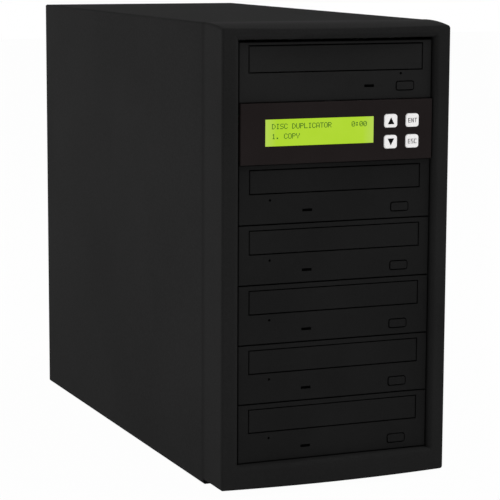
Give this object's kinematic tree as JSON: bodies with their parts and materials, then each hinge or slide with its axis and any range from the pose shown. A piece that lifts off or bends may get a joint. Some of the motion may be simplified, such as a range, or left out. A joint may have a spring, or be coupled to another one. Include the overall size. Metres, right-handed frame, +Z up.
{
  "type": "dvd duplicator",
  "caption": "Free-standing disc copying tower with a source drive, a control panel with screen and keys, and stacked burner drives in a steel case.",
  "frame": {"origin": "centre of the rectangle round the tower, on the table under its rubber feet", "axes": "+X to the right as seen from the front, +Y from the front to the rear, +Z up"},
  "size_m": [0.1758, 0.4188, 0.3327],
  "materials": {
    "cover_paint": "black textured paint on steel",
    "chassis_steel": "black painted sheet steel",
    "bracket_steel": "zinc plated sheet steel",
    "bezel_plastic": "black moulded plastic, fine texture",
    "drive_plastic": "black moulded plastic, satin",
    "tray_plastic": "dark grey moulded plastic",
    "light_plastic": "smoked light pipe",
    "panel_plastic": "black smooth plastic",
    "screen_glass": "backlit liquid crystal screen",
    "key_plastic": "white plastic keys",
    "drive_steel": "zinc plated sheet steel",
    "board_laminate": "green circuit board",
    "cable_sleeve": "red and black cable sleeves",
    "supply_steel": "zinc plated sheet steel",
    "fan_plastic": "black moulded plastic",
    "inlet_plastic": "black moulded plastic",
    "switch_plastic": "black plastic rocker",
    "screw_steel": "zinc plated steel",
    "foot_rubber": "black rubber",
    "spindle_metal": "turned metal and plastic hub"
  },
  "bodies": {
    "case": {"front_bezel": "bezel_plastic", "cover": "cover_paint", "chassis": "chassis_steel", "drive_brackets": "bracket_steel", "rubber_feet": "foot_rubber", "control_panel": "panel_plastic", "lcd_screen": "screen_glass", "display_board": "board_laminate", "controller_board": "board_laminate", "wiring": "cable_sleeve", "supply_base": "supply_steel", "supply_lid": "supply_steel", "fan_frames": "fan_plastic", "power_inlet": "inlet_plastic", "case_screws": "screw_steel", "activity_lights": "light_plastic", "source_housing": "drive_steel", "source_faceplate": "drive_plastic", "burner_1_housing": "drive_steel", "burner_1_faceplate": "drive_plastic", "burner_2_housing": "drive_steel", "burner_2_faceplate": "drive_plastic", "burner_3_housing": "drive_steel", "burner_3_faceplate": "drive_plastic", "burner_4_housing": "drive_steel", "burner_4_faceplate": "drive_plastic", "burner_5_housing": "drive_steel", "burner_5_faceplate": "drive_plastic"},
    "source_tray_body": {"source_tray": "tray_plastic", "source_tray_front": "drive_plastic"},
    "source_button_body": {"source_eject_button": "drive_plastic"},
    "source_spindle_body": {"source_spindle": "spindle_metal"},
    "burner_1_tray_body": {"burner_1_tray": "tray_plastic", "burner_1_tray_front": "drive_plastic"},
    "burner_1_button_body": {"burner_1_eject_button": "drive_plastic"},
    "burner_1_spindle_body": {"burner_1_spindle": "spindle_metal"},
    "burner_2_tray_body": {"burner_2_tray": "tray_plastic", "burner_2_tray_front": "drive_plastic"},
    "burner_2_button_body": {"burner_2_eject_button": "drive_plastic"},
    "burner_2_spindle_body": {"burner_2_spindle": "spindle_metal"},
    "burner_3_tray_body": {"burner_3_tray": "tray_plastic", "burner_3_tray_front": "drive_plastic"},
    "burner_3_button_body": {"burner_3_eject_button": "drive_plastic"},
    "burner_3_spindle_body": {"burner_3_spindle": "spindle_metal"},
    "burner_4_tray_body": {"burner_4_tray": "tray_plastic", "burner_4_tray_front": "drive_plastic"},
    "burner_4_button_body": {"burner_4_eject_button": "drive_plastic"},
    "burner_4_spindle_body": {"burner_4_spindle": "spindle_metal"},
    "burner_5_tray_body": {"burner_5_tray": "tray_plastic", "burner_5_tray_front": "drive_plastic"},
    "burner_5_button_body": {"burner_5_eject_button": "drive_plastic"},
    "burner_5_spindle_body": {"burner_5_spindle": "spindle_metal"},
    "key_up_body": {"key_up": "key_plastic"},
    "key_down_body": {"key_down": "key_plastic"},
    "key_enter_body": {"key_enter": "key_plastic"},
    "key_escape_body": {"key_escape": "key_plastic"},
    "power_switch_body": {"power_switch": "switch_plastic"},
    "lower_fan_body": {"lower_fan_rotor": "fan_plastic"},
    "upper_fan_body": {"upper_fan_rotor": "fan_plastic"},
    "supply_fan_body": {"supply_fan_rotor": "fan_plastic"}
  },
  "joints": [
    {"name": "source_tray_slide", "type": "slide", "parent": "case", "child": "source_tray_body", "axis": [0, -1, 0], "range_m": [0, 0.138]},
    {"name": "source_eject_press", "type": "slide", "parent": "case", "child": "source_button_body", "axis": [0, 1, 0], "range_m": [0, 0.0012], "stiffness_N_per_m": 400},
    {"name": "source_spindle_spin", "type": "hinge", "parent": "case", "child": "source_spindle_body", "pos_m": [0, -0.1294, 0.2898], "axis": [0, 0, 1], "continuous": true},
    {"name": "burner_1_tray_slide", "type": "slide", "parent": "case", "child": "burner_1_tray_body", "axis": [0, -1, 0], "range_m": [0, 0.138]},
    {"name": "burner_1_eject_press", "type": "slide", "parent": "case", "child": "burner_1_button_body", "axis": [0, 1, 0], "range_m": [0, 0.0012], "stiffness_N_per_m": 400},
    {"name": "burner_1_spindle_spin", "type": "hinge", "parent": "case", "child": "burner_1_spindle_body", "pos_m": [0, -0.1294, 0.2048], "axis": [0, 0, 1], "continuous": true},
    {"name": "burner_2_tray_slide", "type": "slide", "parent": "case", "child": "burner_2_tray_body", "axis": [0, -1, 0], "range_m": [0, 0.138]},
    {"name": "burner_2_eject_press", "type": "slide", "parent": "case", "child": "burner_2_button_body", "axis": [0, 1, 0], "range_m": [0, 0.0012], "stiffness_N_per_m": 400},
    {"name": "burner_2_spindle_spin", "type": "hinge", "parent": "case", "child": "burner_2_spindle_body", "pos_m": [0, -0.1294, 0.1623], "axis": [0, 0, 1], "continuous": true},
    {"name": "burner_3_tray_slide", "type": "slide", "parent": "case", "child": "burner_3_tray_body", "axis": [0, -1, 0], "range_m": [0, 0.138]},
    {"name": "burner_3_eject_press", "type": "slide", "parent": "case", "child": "burner_3_button_body", "axis": [0, 1, 0], "range_m": [0, 0.0012], "stiffness_N_per_m": 400},
    {"name": "burner_3_spindle_spin", "type": "hinge", "parent": "case", "child": "burner_3_spindle_body", "pos_m": [0, -0.1294, 0.1198], "axis": [0, 0, 1], "continuous": true},
    {"name": "burner_4_tray_slide", "type": "slide", "parent": "case", "child": "burner_4_tray_body", "axis": [0, -1, 0], "range_m": [0, 0.138]},
    {"name": "burner_4_eject_press", "type": "slide", "parent": "case", "child": "burner_4_button_body", "axis": [0, 1, 0], "range_m": [0, 0.0012], "stiffness_N_per_m": 400},
    {"name": "burner_4_spindle_spin", "type": "hinge", "parent": "case", "child": "burner_4_spindle_body", "pos_m": [0, -0.1294, 0.0773], "axis": [0, 0, 1], "continuous": true},
    {"name": "burner_5_tray_slide", "type": "slide", "parent": "case", "child": "burner_5_tray_body", "axis": [0, -1, 0], "range_m": [0, 0.138]},
    {"name": "burner_5_eject_press", "type": "slide", "parent": "case", "child": "burner_5_button_body", "axis": [0, 1, 0], "range_m": [0, 0.0012], "stiffness_N_per_m": 400},
    {"name": "burner_5_spindle_spin", "type": "hinge", "parent": "case", "child": "burner_5_spindle_body", "pos_m": [0, -0.1294, 0.0348], "axis": [0, 0, 1], "continuous": true},
    {"name": "key_up_press", "type": "slide", "parent": "case", "child": "key_up_body", "axis": [0, 1, 0], "range_m": [0, 0.0008], "stiffness_N_per_m": 500},
    {"name": "key_down_press", "type": "slide", "parent": "case", "child": "key_down_body", "axis": [0, 1, 0], "range_m": [0, 0.0008], "stiffness_N_per_m": 500},
    {"name": "key_enter_press", "type": "slide", "parent": "case", "child": "key_enter_body", "axis": [0, 1, 0], "range_m": [0, 0.0008], "stiffness_N_per_m": 500},
    {"name": "key_escape_press", "type": "slide", "parent": "case", "child": "key_escape_body", "axis": [0, 1, 0], "range_m": [0, 0.0008], "stiffness_N_per_m": 500},
    {"name": "power_switch_rock", "type": "hinge", "parent": "case", "child": "power_switch_body", "pos_m": [0.045, 0.2016, 0.0583], "axis": [1, 0, 0], "range_deg": [0, 14]},
    {"name": "lower_fan_spin", "type": "hinge", "parent": "case", "child": "lower_fan_body", "pos_m": [0, 0.193, 0.1483], "axis": [0, 1, 0], "continuous": true},
    {"name": "upper_fan_spin", "type": "hinge", "parent": "case", "child": "upper_fan_body", "pos_m": [0, 0.193, 0.2483], "axis": [0, 1, 0], "continuous": true},
    {"name": "supply_fan_spin", "type": "hinge", "parent": "case", "child": "supply_fan_body", "pos_m": [-0.025, 0.192, 0.0463], "axis": [0, 1, 0], "continuous": true}
  ]
}
